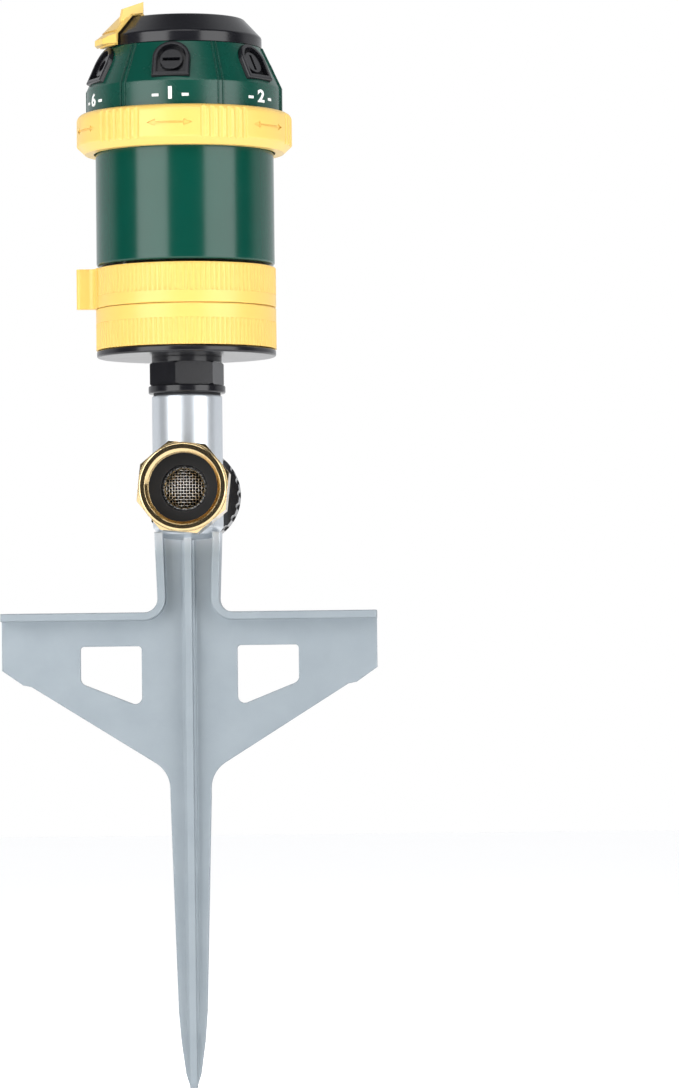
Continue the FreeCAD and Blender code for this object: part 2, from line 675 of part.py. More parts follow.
def gear_train():
    """Sun, three compound gears and the turbine, all in mesh at rest."""
    spot_a, spot_b = shaft_spots()
    to_b = math.degrees(math.atan2(spot_b.y - spot_a.y, spot_b.x - spot_a.x))
    sun_gear()
    turn_one = meshed_turn(0, SUN_TEETH, size("shaft_a_angle"), PINION_TEETH)
    turn_two = meshed_turn(turn_one, WHEEL_TEETH, to_b, PINION_TEETH)
    turn_three = meshed_turn(turn_two, WHEEL_TEETH, to_b + 180, PINION_TEETH)
    turn_four = meshed_turn(turn_three, WHEEL_TEETH, to_b, PINION_TEETH)
    low = size("floor_top") + 0.5
    first = compound_gear("gear_1", size("sun_module"), low, spot_a, turn_one)
    second = compound_gear("gear_2", size("train_module"), first, spot_b, turn_two)
    third = compound_gear("gear_3", size("train_module"), second, spot_a, turn_three)
    turbine(third, spot_b, turn_four)
    cylinder("gear_shaft_a", "shaft_radius", "floor_top - 2", "gear_plate_base + 0.9",
             (spot_a.x, spot_a.y))
    cylinder("gear_shaft_b", "shaft_radius", "floor_top - 2", third - 0.3, (spot_b.x, spot_b.y))


# ---------------------------------------------------------------- barrel

POST_ANGLES = (10, 90, 160)


def barrel_shell():
    body = turned([
        ("barrel_radius - barrel_wall", "barrel_base"), ("barrel_radius", "barrel_base"),
        ("barrel_radius", "barrel_top"), ("barrel_radius - barrel_wall", "barrel_top")])
    round_edges(body, 0.8, on_circle(size("barrel_radius"), size("barrel_base")))
    return keep(body, "barrel_shell")


def spots_of(points):
    return [(f"{point.x}", f"{point.y}") for point in points]


def trip_spot():
    return around(size("trip_radius"), size("trip_angle"))


def barrel_floor():
    """Floor of the barrel: blind holes hold the gear shafts, a hole lets the trip shaft through."""
    body = turned([
        ("7.55", "barrel_base + 0.4"), ("barrel_radius - barrel_wall - 0.05", "barrel_base + 0.4"),
        ("barrel_radius - barrel_wall - 0.05", "floor_top"), ("7.55", "floor_top")])
    drill(body, spots_of(shaft_spots()), "shaft_radius + 0.02", "floor_top", "2.05")
    drill(body, spots_of([trip_spot()]), "trip_shaft + 0.06", "floor_top + 1", "6")
    return keep(body, "barrel_floor")


def floor_bush():
    body = turned([
        ("stem_radius + 0.05", "upper_top + 0.1"), ("7.5", "upper_top + 0.1"), ("7.5", "floor_top + 0.02"),
        ("9", "floor_top + 0.02"), ("9", "floor_top + 0.5"), ("stem_radius + 0.05", "floor_top + 0.5")])
    return keep(body, "floor_bush")


def gear_plate():
    """Plate over the gears; the turbine's and the trip's shafts pass through it."""
    body = turned([
        ("stem_radius + 0.08", "gear_plate_base"), ("30.3", "gear_plate_base"),
        ("30.3", "gear_plate_top"), ("stem_radius + 0.08", "gear_plate_top")])
    spot_a, spot_b = shaft_spots()
    drill(body, spots_of([spot_b]), "shaft_radius + 0.06", "gear_plate_top + 1", "6")
    drill(body, spots_of([trip_spot()]), "trip_shaft + 0.06", "gear_plate_top + 1", "6")
    drill(body, spots_of([spot_a]), "shaft_radius + 0.02", "gear_plate_base + 1", "3")
    drill(body, spots_of([around(25.5, angle) for angle in POST_ANGLES]), "1.3",
          "gear_plate_top + 1", "6")
    return keep(body, "gear_plate")


def fused(parts):
    """One multi-solid piece from a few turned shapes."""
    group = doc.addObject("Part::Compound", "group")
    group.Links = parts
    return group


def gear_posts():
    """Three posts between the barrel's floor and the gear plate."""
    posts = []
    for angle in POST_ANGLES:
        post = turned([
            ("0", "floor_top + 0.02"), ("2.3", "floor_top + 0.02"), ("2.3", "gear_plate_base - 0.02"),
            ("1.1", "gear_plate_base - 0.02"), ("1.1", "gear_plate_base - 8"),
            ("0", "gear_plate_base - 8")])
        post.Placement.Base = around(25.5, angle)
        posts.append(post)
    return keep(fused(posts), "gear_posts")


def gear_screws():
    """Three slotted screws that hold the gear plate on its posts."""
    screws = []
    for angle in POST_ANGLES:
        screw = turned([
            ("0", "gear_plate_base - 7"), ("1.05", "gear_plate_base - 7"),
            ("1.05", "gear_plate_top + 0.02"), ("2.3", "gear_plate_top + 0.02"),
            ("2.3", "gear_plate_top + 1.5"), ("0", "gear_plate_top + 1.5")])
        slot = [("-3", "-0.3"), ("3", "-0.3"), ("3", "0.3"), ("-3", "0.3")]
        pocket_loop(screw, "XY_Plane", slot, "0.8", lift="gear_plate_top + 1.5")
        screw.Placement.Base = around(25.5, angle)
        screws.append(screw)
    return keep(fused(screws), "gear_screws")


def stator_cup():
    """Cup round the turbine: it stands on three legs and has two jet slots by the diverter."""
    spot = shaft_spots()[1]
    body = turned([
        ("1.3", "gear_plate_top + 1.8"), ("10.2", "gear_plate_top + 1.8"),
        ("10.2", "gear_plate_top + 9.1"), ("8.8", "gear_plate_top + 9.1"),
        ("8.8", "gear_plate_top + 2.8"), ("1.3", "gear_plate_top + 2.8")])
    legs = new_sketch(body, "XY_Plane", "gear_plate_top + 0.02")
    for angle in (146, 236, 326):
        add_circle(legs, f"8.4 * cos({angle})", f"8.4 * sin({angle})", "1.0")
    prism_feature(body, "Pad", legs, "2.2")
    toward = trip_spot() - spot
    heading = math.degrees(math.atan2(toward.y, toward.x))
    for swing in (-26, 26):
        corners = []
        for reach, side in ((7, -0.9), (12, -0.9), (12, 0.9), (7, 0.9)):
            turn = math.radians(heading + swing)
            across = reach * math.cos(turn) - side * math.sin(turn)
            up = reach * math.sin(turn) + side * math.cos(turn)
            corners.append((f"{across}", f"{up}"))
        pocket_loop(body, "XY_Plane", corners, "4", lift="gear_plate_top + 8")
    return keep(body, "stator_cup", FreeCAD.Placement(spot, FreeCAD.Rotation()))


def stator_cover():
    """Lid of the stator cup: top bearing for the turbine and six water outlets."""
    body = turned([
        ("shaft_radius + 0.06", "gear_plate_top + 9.15"), ("10.2", "gear_plate_top + 9.15"),
        ("10.2", "gear_plate_top + 10.6"), ("shaft_radius + 0.06", "gear_plate_top + 10.6")])
    outlet = drill(body, [("5.6", "0")], "1.4", "gear_plate_top + 12", "4")
    repeat(body, [outlet], 6)
    return keep(body, "stator_cover", FreeCAD.Placement(shaft_spots()[1], FreeCAD.Rotation()))


def manifold_plate():
    """Plate under the turret: water leaves only through its one port."""
    body = turned([
        ("0", "manifold_base"), ("30.3", "manifold_base"), ("30.3", "manifold_base + 0.9"),
        ("29.2", "manifold_base + 0.9"), ("29.2", "manifold_base + 2.1"),
        ("30.3", "manifold_base + 2.1"), ("30.3", "manifold_top"), ("0", "manifold_top")])
    port = [around(size("port_radius"), size("deflector_angle"))]
    drill(body, spots_of(port), "duct_bore - 0.3", "manifold_top + 1", "6")
    drill(body, spots_of(port), "duct_bore + 0.65", "manifold_top", "1.6")
    return keep(body, "manifold_plate")


def port_seal():
    body = turned([
        ("duct_bore - 0.3", "manifold_top - 1.55"), ("duct_bore + 0.6", "manifold_top - 1.55"),
        ("duct_bore + 0.6", "manifold_top + 2.2"), ("duct_bore - 0.3", "manifold_top + 2.2")])
    port = around(size("port_radius"), size("deflector_angle"))
    return keep(body, "port_seal", FreeCAD.Placement(port, FreeCAD.Rotation()))


def center_post():
    """Post on the manifold plate: axle of the turret, tapped at the top for the cap's screw."""
    body = turned([
        ("0", "manifold_top + 0.02"), ("8", "manifold_top + 0.02"), ("8", "manifold_top + 1.6"),
        ("3.5", "manifold_top + 1.6"), ("3.5", "turret_cap_base + 6.5"),
        ("1.55", "turret_cap_base + 6.5"), ("1.55", "turret_cap_base - 4"),
        ("0", "turret_cap_base - 4")])
    return keep(body, "center_post")


def detent_spring():
    """Leaf spring on the manifold plate whose nub clicks under the turret's floor."""
    body = doc.addObject("PartDesign::Body", "body")
    leaf = [("11", "-1.5"), ("27", "-1.5"), ("27", "1.5"), ("11", "1.5")]
    pad_loop(body, "XY_Plane", leaf, "0.4", lift="manifold_top + 0.02")
    nub = new_sketch(body, "XY_Plane", "manifold_top + 0.3")
    add_circle(nub, "15", "0", "1.4")
    prism_feature(body, "Pad", nub, "1.9")
    doc.recompute()
    round_edges(body, 1.0, lambda edge: abs(edge.CenterOfMass.z - size("manifold_top") - 2.2) < 0.02)
    return keep(body, "detent_spring", FreeCAD.Placement(V(0, 0, 0), spun(25)))


# ---------------------------------------------------------------- trip

LEVER_REST = -12


def trip_place():
    """The trip rests against one side of its swing."""
    return FreeCAD.Placement(trip_spot(), spun(size("trip_angle") + LEVER_REST))


def trip_lever():
    """Lever under the barrel's floor: its finger meets the stops of the two collars."""
    body = turned([
        ("trip_shaft + 0.02", "upper_base + 6.4"), ("2.2", "upper_base + 6.4"),
        ("2.2", "upper_top - 1"), ("trip_shaft + 0.02", "upper_top - 1")])
    arm = [("1.6", "-1.1"), ("5", "-1.1"), ("5", "1.1"), ("1.6", "1.1")]
    pad_loop(body, "XY_Plane", arm, "6", lift="upper_base + 6.8")
    finger = [("4.2", "-1.75"), ("6.4", "-1.75"), ("6.4", "1.75"), ("4.2", "1.75")]
    pad_loop(body, "XY_Plane", finger, "barrel_base - upper_base - 4.3", lift="upper_base + 4")
    return keep(body, "trip_lever", trip_place())


def trip_shaft():
    pin = cylinder("trip_shaft", "trip_shaft", "upper_base + 6.2", "gear_plate_top + 7")
    pin.Placement.Base.x = trip_spot().x
    pin.Placement.Base.y = trip_spot().y
    return pin


def diverter_flap():
    """Flap on the trip shaft that opens one jet slot of the stator or the other."""
    body = turned([
        ("trip_shaft + 0.02", "gear_plate_top + 2.4"), ("1.7", "gear_plate_top + 2.4"),
        ("1.7", "gear_plate_top + 6.8"), ("trip_shaft + 0.02", "gear_plate_top + 6.8")])
    for side in ("", "-"):
        wing = [
            (f"{side}1.4", "-0.4"), (f"{side}3.2", "-0.4"),
            (f"{side}3.2", "0.4"), (f"{side}1.4", "0.4")]
        pad_loop(body, "XY_Plane", wing, "4.4", lift="gear_plate_top + 2.4")
    toward = shaft_spots()[1] - trip_spot()
    heading = math.degrees(math.atan2(toward.y, toward.x))
    place = FreeCAD.Placement(trip_spot(), spun(heading + 90 + LEVER_REST))
    return keep(body, "diverter_flap", place)


# ---------------------------------------------------------------- turret

NOZZLES = ("flat", "fan", "jet", "mist", "shower", "large")


def nozzle_angle(index):
    return size("first_nozzle") + 60 * index


def cone_tilt():
    """The cone's slope from the vertical, in degrees."""
    run = size("turret_radius") - size("cone_radius")
    return math.degrees(math.atan2(run, size("cone_top") - size("cone_base")))


def nozzle_place(index):
    """A frame on the cone: local +Z out of its surface, local +Y up its slope."""
    lift = size("nozzle_lift")
    middle = (size("cone_base") + size("cone_top")) / 2 + lift
    radius = (size("turret_radius") + size("cone_radius")) / 2
    radius -= lift * math.tan(math.radians(cone_tilt()))
    angle = nozzle_angle(index)
    upright = FreeCAD.Rotation(V(1, 0, 0), 90 - cone_tilt())
    facing = FreeCAD.Rotation(V(0, 0, 1), angle + 90)
    return FreeCAD.Placement(around(radius, angle, middle), facing.multiply(upright))


def arched(width, height):
    """A D standing on its flat side, as a face on the local XY plane."""
    half = width / 2
    base = -height / 2
    spring = height / 2 - half
    left, right = V(-half, base, 0), V(half, base, 0)
    over = Part.Arc(V(half, spring, 0), V(0, height / 2, 0), V(-half, spring, 0)).toShape()
    edges = [
        Part.makeLine(left, right), Part.makeLine(right, V(half, spring, 0)), over,
        Part.makeLine(V(-half, spring, 0), left)]
    return Part.Face(Part.Wire(edges))


def lifted(face, low, high):
    block = face.copy()
    block.translate(V(0, 0, low))
    return block.extrude(V(0, 0, high - low))


def bezel_shape():
    """Raised black frame with a sunk floor and a round hole for the nozzle."""
    width, height = size("bezel_width"), size("bezel_height")
    block = lifted(arched(width, height), -1.8, 1.1)
    top = [edge for edge in block.Edges if abs(edge.BoundBox.ZMin - 1.1) < 0.01]
    block = block.makeFillet(0.6, top)
    recess = lifted(arched(width - 3.0, height - 2.9), -1.3, 2)
    hole = Part.makeCylinder(size("nozzle_radius") + 0.03, 6, V(0, 0, -3))
    return block.cut(recess).cut(hole)


def nozzle_opening(kind):
    """The cutters of each nozzle's own orifice."""
    slot = Part.makeBox(6.2, 1.3, 3, V(-3.1, -0.65, -1.6))
    if kind == "flat":
        return [slot]
    if kind == "fan":
        slot.rotate(V(0, 0, 0), V(0, 0, 1), 90)
        return [slot]
    if kind == "jet":
        return [Part.makeCylinder(1.1, 3, V(0, 0, -1.6))]
    if kind == "large":
        return [Part.makeCylinder(2.2, 3, V(0, 0, -1.6))]
    reach, count, radius = (2.3, 6, 0.35) if kind == "mist" else (2.6, 8, 0.5)
    holes = []
    for index in range(count):
        spot = around(reach, 360 * index / count, -1.6)
        holes.append(Part.makeCylinder(radius, 3, spot))
    return holes


def nozzle_shape(kind):
    """Nozzle: front disc in the bezel, shoulder behind the turret's wall, bore from inside."""
    radius = size("nozzle_radius")
    front = Part.makeCylinder(radius, 3.4, V(0, 0, -3.3))
    tail = Part.makeCylinder(4.6, 9, V(0, 0, -12))
    bore = Part.makeCylinder(size("duct_bore"), 11, V(0, 0, -12.5))
    return front.fuse(tail).cut([bore] + nozzle_opening(kind)).removeSplitter()


def nozzles():
    for index, kind in enumerate(NOZZLES):
        solid_piece(f"bezel_{kind}", bezel_shape(), nozzle_place(index))
        solid_piece(f"nozzle_{kind}", nozzle_shape(kind), nozzle_place(index))


def turret_shell():
    """Green shell of the turret: band and cone, six pairs of boundary ribs, six bezel seats."""
    body = turned([
        ("turret_radius - turret_wall", "barrel_top + 2.8"), ("turret_radius", "barrel_top + 2.8"),
        ("turret_radius", "cone_base"), ("cone_radius", "cone_top"),
        ("cone_radius - turret_wall", "cone_top"), ("turret_radius - turret_wall", "cone_base")])
    round_edges(body, 0.8, on_circle(size("turret_radius"), size("cone_base")))
    rib = turned_feature(body, "Revolution", [
        ("turret_radius - 1", "ring_top + 0.3"), ("turret_radius + 0.6", "ring_top + 0.3"),
        ("turret_radius + 0.6", "cone_base"), ("cone_radius + 0.6", "cone_top"),
        ("cone_radius - 1", "cone_top"), ("turret_radius - 1", "cone_base")], angle=3.6)
    valley = turned_feature(body, "Groove", [
        ("turret_radius + 0.05", "ring_top"), ("turret_radius + 2", "ring_top"),
        ("turret_radius + 2", "cone_top + 1"), ("cone_radius + 0.05", "cone_top + 1"),
        ("cone_radius + 0.05", "cone_top"), ("turret_radius + 0.05", "cone_base")], angle=2.2)
    repeat(body, [rib, valley], 6)
    body.Placement = FreeCAD.Placement(V(0, 0, 0), spun(nozzle_angle(0) + 30))
    seats = []
    for index in range(len(NOZZLES)):
        pocket = lifted(arched(size("bezel_width") + 0.1, size("bezel_height") + 0.1), -1.85, 4)
        hole = Part.makeCylinder(size("nozzle_radius") + 0.05, 12, V(0, 0, -8))
        tail = Part.makeCylinder(4.65, 9, V(0, 0, -12.2))
        seat = pocket.fuse([hole, tail])
        seat.Placement = nozzle_place(index)
        seats.append(seat)
    cutters = doc.addObject("Part::Feature", "seats")
    cutters.Shape = Part.makeCompound(seats)
    shell = doc.addObject("Part::Cut", "shell")
    shell.Base, shell.Tool = body, cutters
    return keep(shell, "turret_shell")


def turret_floor():
    """Floor of the turret: hub on the post, six ducts up to the nozzles, flange for the ring."""
    body = turned([
        ("3.56", "manifold_top + 2.5"), ("30", "manifold_top + 2.5"), ("30", "barrel_top + 0.6"),
        ("turret_radius - 0.4", "barrel_top + 0.6"), ("turret_radius - 0.4", "barrel_top + 2.7"),
        ("28", "barrel_top + 2.7"), ("28", "manifold_top + 5"), ("6", "manifold_top + 5"),
        ("6", "cone_top - 4"), ("3.56", "cone_top - 4")])
    place = [("port_radius", "0")]
    duct = new_sketch(body, "XY_Plane", "manifold_top + 4")
    add_circle(duct, "port_radius", "0", "duct_bore + 1.6")
    wall = prism_feature(body, "Pad", duct, "21")
    repeat(body, [wall], 6)
    ports = drill(body, place, "duct_bore", "manifold_top + 26", "26")
    dimple = drill(body, [("15", "0")], "1.6", "manifold_top + 3.1", "3")
    repeat(body, [ports, dimple], 6)
    turn = FreeCAD.Placement(V(0, 0, 0), spun(nozzle_angle(0)))
    return keep(body, "turret_floor", turn)


def arrow_face(reach):
    """A flat double-headed arrow on the XZ plane, centred on the origin."""
    head, shaft, tall = 3.0, 0.35, 1.2
    half = [
        V(-reach, 0, 0), V(-reach + head, 0, tall), V(-reach + head, 0, shaft),
        V(reach - head, 0, shaft), V(reach - head, 0, tall), V(reach, 0, 0)]
    other = [V(point.x, 0, -point.z) for point in reversed(half[1:-1])]
    return Part.Face(Part.makePolygon(half + other + [half[0]]))


def pattern_ring():
    """Yellow grip ring: fluted panels between six smooth ones that carry engraved arrows."""
    body = turned([
        ("barrel_radius + 0.6", "ring_base"), ("ring_radius - 2.9", "ring_base"),
        ("ring_radius", "ring_base + 2.7"), ("ring_radius", "ring_top"),
        ("turret_radius + 0.1", "ring_top"), ("turret_radius + 0.1", "barrel_top + 0.3"),
        ("barrel_radius + 0.6", "barrel_top + 0.3")])
    round_edges(body, 2.6, on_circle(size("ring_radius"), size("ring_top")))
    round_edges(body, 0.8, on_circle(size("ring_radius"), size("ring_base") + 2.7))
    flutes = new_sketch(body, "XY_Plane", "ring_top + 1")
    for step in range(6):
        turn = f"{30 + (step - 2.5) * 4.7}"
        add_circle(flutes, f"(ring_radius + 0.75) * cos({turn})",
                   f"(ring_radius + 0.75) * sin({turn})", "1.45")
    repeat(body, [prism_feature(body, "Pocket", flutes, "ring_top - ring_base + 2")], 6)
    body.Placement = FreeCAD.Placement(V(0, 0, 0), spun(nozzle_angle(0)))
    middle = (size("ring_base") + size("ring_top")) / 2 + 0.4
    radius = size("ring_radius")
    skin = Part.makeCylinder(radius + 2, 8, V(0, 0, middle - 4))
    skin = skin.cut(Part.makeCylinder(radius - 0.55, 8, V(0, 0, middle - 4)))
    cutters = []
    for index in range(6):
        arrow = arrow_face(8.2).extrude(V(0, -20, 0))
        arrow.translate(V(0, -radius + 10, middle))
        arrow.rotate(V(0, 0, 0), V(0, 0, 1), nozzle_angle(index) + 90)
        cutters.append(arrow.common(skin))
    engraving = doc.addObject("Part::Feature", "engraving")
    engraving.Shape = Part.makeCompound(cutters)
    ring = doc.addObject("Part::Cut", "ring")
    ring.Base, ring.Tool = body, engraving
    return keep(ring, "pattern_ring")


# ---------------------------------------------------------------- cap and deflector

def turret_cap():
    """Black cap: straight band, conical shoulder and a dished top where the deflector turns."""
    body = turned([
        ("1.6", "turret_cap_base + 6.6"), ("5", "turret_cap_base + 6.6"), ("5", "cap_top - 5"),
        ("shoulder_radius - 2", "cap_top - 5"), ("cone_radius - 2", "band_top - 0.8"),
        ("cone_radius - 2", "turret_cap_base"), ("cone_radius", "turret_cap_base"),
        ("cone_radius", "band_top"), ("shoulder_radius", "shoulder_height"),
        ("shoulder_radius - 3", "cap_top - 1"), ("shoulder_radius - 4", "dish_height"),
        ("1.6", "dish_height")])
    round_edges(body, 1.2, any_of(
        on_circle(size("shoulder_radius"), size("shoulder_height")),
        on_circle(size("cone_radius"), size("band_top"))))
    return keep(body, "turret_cap")


def cap_screw():
    """Shoulder screw down into the post: it holds the cap and is the deflector's pivot."""
    body = turned([
        ("0", "dish_height - 10.5"), ("1.5", "dish_height - 10.5"), ("1.5", "dish_height + 0.02"),
        ("2.2", "dish_height + 0.02"), ("2.2", "dish_height + 1.9"), ("4.2", "dish_height + 1.9"),
        ("4.2", "dish_height + 3"), ("0", "dish_height + 3")])
    round_edges(body, 0.6, on_circle(4.2, size("dish_height") + 3))
    for across, up in (("2.6", "0.45"), ("0.45", "2.6")):
        cross = [
            (f"-{across}", f"-{up}"), (across, f"-{up}"), (across, up), (f"-{across}", up)]
        pocket_loop(body, "XY_Plane", cross, "0.8", lift="dish_height + 3")
    return keep(body, "cap_screw")


def range_deflector():
    """Yellow deflector: hub, arm that hugs the cap, hood over one nozzle and an upright fin."""
    body = turned([
        ("2.25", "dish_height + 0.25"), ("7", "dish_height + 0.25"), ("7", "dish_height + 1.75"),
        ("2.25", "dish_height + 1.75")])
    turned_feature(body, "Revolution", [
        ("5", "dish_height + 0.25"), ("shoulder_radius - 4.6", "dish_height + 0.25"),
        ("shoulder_radius - 3.4", "cap_top - 0.5"), ("shoulder_radius + 0.3", "shoulder_height + 0.5"),
        ("cone_radius + 0.5", "band_top + 0.4"), ("cone_radius + 0.6", "turret_cap_base"),
        ("cone_radius + 2.2", "turret_cap_base"), ("cone_radius + 2.2", "band_top + 0.9"),
        ("shoulder_radius + 1.0", "shoulder_height + 1.6"),
        ("shoulder_radius - 4.2", "cap_top + 0.5"),
        ("shoulder_radius - 5.8", "dish_height + 1.75"), ("5", "dish_height + 1.75")], angle=27)
    hood = [
        ("cone_radius + 1.4", "-9.6"), ("cone_radius + 4.7", "-3.7"),
        ("cone_radius + 4.7", "3.7"), ("cone_radius + 1.4", "9.6")]
    pad_loop(body, "XY_Plane", hood, "4.2", lift="turret_cap_base + 0.4")
    turned_feature(body, "Groove", [
        ("cone_radius + 1.0", "band_top + 1.5"), ("cone_radius + 6", "turret_cap_base + 1.5"),
        ("cone_radius + 6", "band_top + 1.5")])
    fin = [
        ("17.8", "cap_top + 0.1"), ("shoulder_radius + 0.4", "shoulder_height + 0.9"),
        ("cone_radius - 1.3", "band_top + 2.4"), ("cone_radius - 2.9", "cap_top + 1.4"),
        ("17.8", "cap_top + 4.2")]
    pad_loop(body, "XZ_Plane", fin, "2.2", lift="-4.6", symmetric=True)
    turn = FreeCAD.Placement(V(0, 0, 0), spun(size("deflector_angle")))
    return keep(body, "range_deflector", turn)


# ---------------------------------------------------------------- the whole sprinkler

keep(riser(step_spike()), "step_spike")
for make in (inlet_tailpiece, inlet_screen, inlet_washer, hose_nut, outlet_cap, outlet_gasket,
             riser_gasket, inlet_adapter, base_housing, center_stem, thrust_washer, stem_clip,
             lower_collar, upper_collar, gear_train, barrel_shell, barrel_floor, floor_bush,
             gear_plate, gear_posts, gear_screws, stator_cup, stator_cover, manifold_plate,
             port_seal, center_post, detent_spring, trip_lever, trip_shaft, diverter_flap,
             turret_floor, turret_shell, pattern_ring, nozzles, turret_cap, cap_screw,
             range_deflector):
    make()
o_ring("stem_oring", "stem_radius - 0.5", 0.46, "gear_plate_base + 1")
o_ring("manifold_oring", "29.8", 0.55, "manifold_base + 1.5")
doc.recompute()

for item in doc.Objects:
    if "Invalid" in item.State or "Error" in item.State:
        raise RuntimeError(f"{item.Label} failed: {item.State}")
for piece in pieces:
    if piece.Shape.isNull() or not piece.Shape.isValid():
        raise RuntimeError(f"{piece.Label} has no valid shape")
os.makedirs("parts", exist_ok=True)
for piece in pieces:
    piece.Shape.exportStep(f"parts/{piece.Label}.step")
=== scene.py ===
import json
import math

import bpy
from mathutils import Matrix, Vector


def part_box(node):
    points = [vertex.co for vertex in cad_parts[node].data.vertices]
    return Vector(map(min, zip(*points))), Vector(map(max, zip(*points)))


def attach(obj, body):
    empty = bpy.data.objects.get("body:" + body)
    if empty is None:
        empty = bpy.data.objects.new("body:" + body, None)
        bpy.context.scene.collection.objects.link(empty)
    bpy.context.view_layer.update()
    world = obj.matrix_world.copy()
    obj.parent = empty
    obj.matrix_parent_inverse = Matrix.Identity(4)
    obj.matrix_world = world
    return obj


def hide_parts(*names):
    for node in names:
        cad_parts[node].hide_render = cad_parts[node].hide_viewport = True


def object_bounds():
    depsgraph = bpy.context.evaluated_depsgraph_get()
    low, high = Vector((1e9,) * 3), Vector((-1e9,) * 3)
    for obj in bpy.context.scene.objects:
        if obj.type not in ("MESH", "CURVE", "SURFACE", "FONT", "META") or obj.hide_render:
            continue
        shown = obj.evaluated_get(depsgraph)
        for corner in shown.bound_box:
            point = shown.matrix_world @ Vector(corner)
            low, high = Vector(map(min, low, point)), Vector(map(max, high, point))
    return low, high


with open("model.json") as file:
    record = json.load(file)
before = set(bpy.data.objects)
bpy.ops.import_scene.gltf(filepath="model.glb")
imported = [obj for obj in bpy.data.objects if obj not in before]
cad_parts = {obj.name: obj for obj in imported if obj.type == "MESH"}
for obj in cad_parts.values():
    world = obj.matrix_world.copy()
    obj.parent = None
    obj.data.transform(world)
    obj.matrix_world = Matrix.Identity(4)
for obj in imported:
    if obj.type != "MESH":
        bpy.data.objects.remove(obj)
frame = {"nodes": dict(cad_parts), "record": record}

CAD_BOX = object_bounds()
MM = 0.001
SLOT_OF = {row["node"]: row["material_slot"] for row in frame["record"]["subparts"]}
NOZZLES = ("flat", "fan", "jet", "mist", "shower", "large")


# ---------------------------------------------------------------- node helpers

class Nodes:
    """A short way to build a node tree: add a node, set its sockets, link others into it."""

    def __init__(self, tree):
        self.tree = tree
        self.tree.nodes.clear()

    def add(self, kind, settings=None, **inputs):
        node = self.tree.nodes.new(kind)
        for name, value in (settings or {}).items():
            setattr(node, name, value)
        for name, value in inputs.items():
            self.feed(node, name.replace("_", " "), value)
        return node

    def feed(self, node, socket, value):
        target = node.inputs[int(socket)] if str(socket).isdigit() else node.inputs[socket]
        if isinstance(value, bpy.types.NodeSocket):
            self.tree.links.new(value, target)
        else:
            target.default_value = value

    def coordinates(self):
        return self.add("ShaderNodeTexCoord").outputs["Object"]

    def noise(self, scale, detail=3.0, roughness=0.5, stretch=(1, 1, 1)):
        mapping = self.add("ShaderNodeMapping", Vector=self.coordinates())
        mapping.inputs["Scale"].default_value = stretch
        texture = self.add("ShaderNodeTexNoise", Vector=mapping.outputs[0], Scale=scale,
                           Detail=detail, Roughness=roughness)
        return texture.outputs["Fac"]

    def ramp(self, factor, low, high):
        """A factor from 0 to 1 mapped between two numbers."""
        node = self.add("ShaderNodeMapRange", Value=factor)
        node.inputs["To Min"].default_value = low
        node.inputs["To Max"].default_value = high
        return node.outputs[0]

    def blend(self, factor, first, second):
        """Two colours mixed by a factor."""
        node = self.add("ShaderNodeMix", {"data_type": "RGBA"})
        self.feed(node, 0, factor)
        self.feed(node, 6, first)
        self.feed(node, 7, second)
        return node.outputs[2]

    def height(self, axis="Z"):
        split = self.add("ShaderNodeSeparateXYZ", Vector=self.coordinates())
        return split.outputs[axis]

    def step(self, value, low, high):
        """0 below low, 1 above high, smooth between."""
        node = self.add("ShaderNodeMapRange", {"interpolation_type": "SMOOTHSTEP"}, Value=value)
        node.inputs["From Min"].default_value = low
        node.inputs["From Max"].default_value = high
        return node.outputs[0]


def rgba(red, green, blue):
    return (red, green, blue, 1.0)


def new_material(name):
    material = bpy.data.materials.new(name)
    material.use_nodes = True
    return material, Nodes(material.node_tree)


def finish_material(nodes, colour, roughness, metallic=0.0, bump=None, strength=0.1,
                    depth=0.0001, edge=0.00025, **sockets):
    """The shader itself: bump over softly rounded edges, and constants on its own sockets."""
    rounded = nodes.add("ShaderNodeBevel", {"samples": 4}, Radius=edge)
    normal = rounded.outputs[0]
    if bump is not None:
        relief = nodes.add("ShaderNodeBump", Strength=strength, Distance=depth, Height=bump,
                           Normal=normal)
        normal = relief.outputs[0]
    shader = nodes.add("ShaderNodeBsdfPrincipled", Roughness=roughness, Metallic=metallic,
                       Normal=normal)
    nodes.feed(shader, "Base Color", colour)
    for name, value in sockets.items():
        nodes.feed(shader, name.replace("_", " "), value)
    output = nodes.add("ShaderNodeOutputMaterial")
    nodes.feed(output, "Surface", shader.outputs[0])


# ---------------------------------------------------------------- materials

def plastic(name, dark, light, smooth, rough, grain=900.0, strength=0.06, **sockets):
    """Moulded plastic: faint mottling of colour and gloss, and a fine moulded grain."""
    material, nodes = new_material(name)
    mottle = nodes.noise(45.0)
    colour = nodes.blend(mottle, rgba(*dark), rgba(*light))
    roughness = nodes.ramp(nodes.noise(160.0), smooth, rough)
    finish_material(nodes, colour, roughness, bump=nodes.noise(grain), strength=strength, **sockets)
    return material


def metal(name, dark, light, smooth, rough, grain=1500.0, strength=0.08, stretch=(1, 1, 1)):
    material, nodes = new_material(name)
    colour = nodes.blend(nodes.noise(70.0, stretch=stretch), rgba(*dark), rgba(*light))
    roughness = nodes.ramp(nodes.noise(260.0, stretch=stretch), smooth, rough)
    finish_material(nodes, colour, roughness, metallic=1.0, bump=nodes.noise(grain, stretch=stretch),
                    strength=strength)
    return material


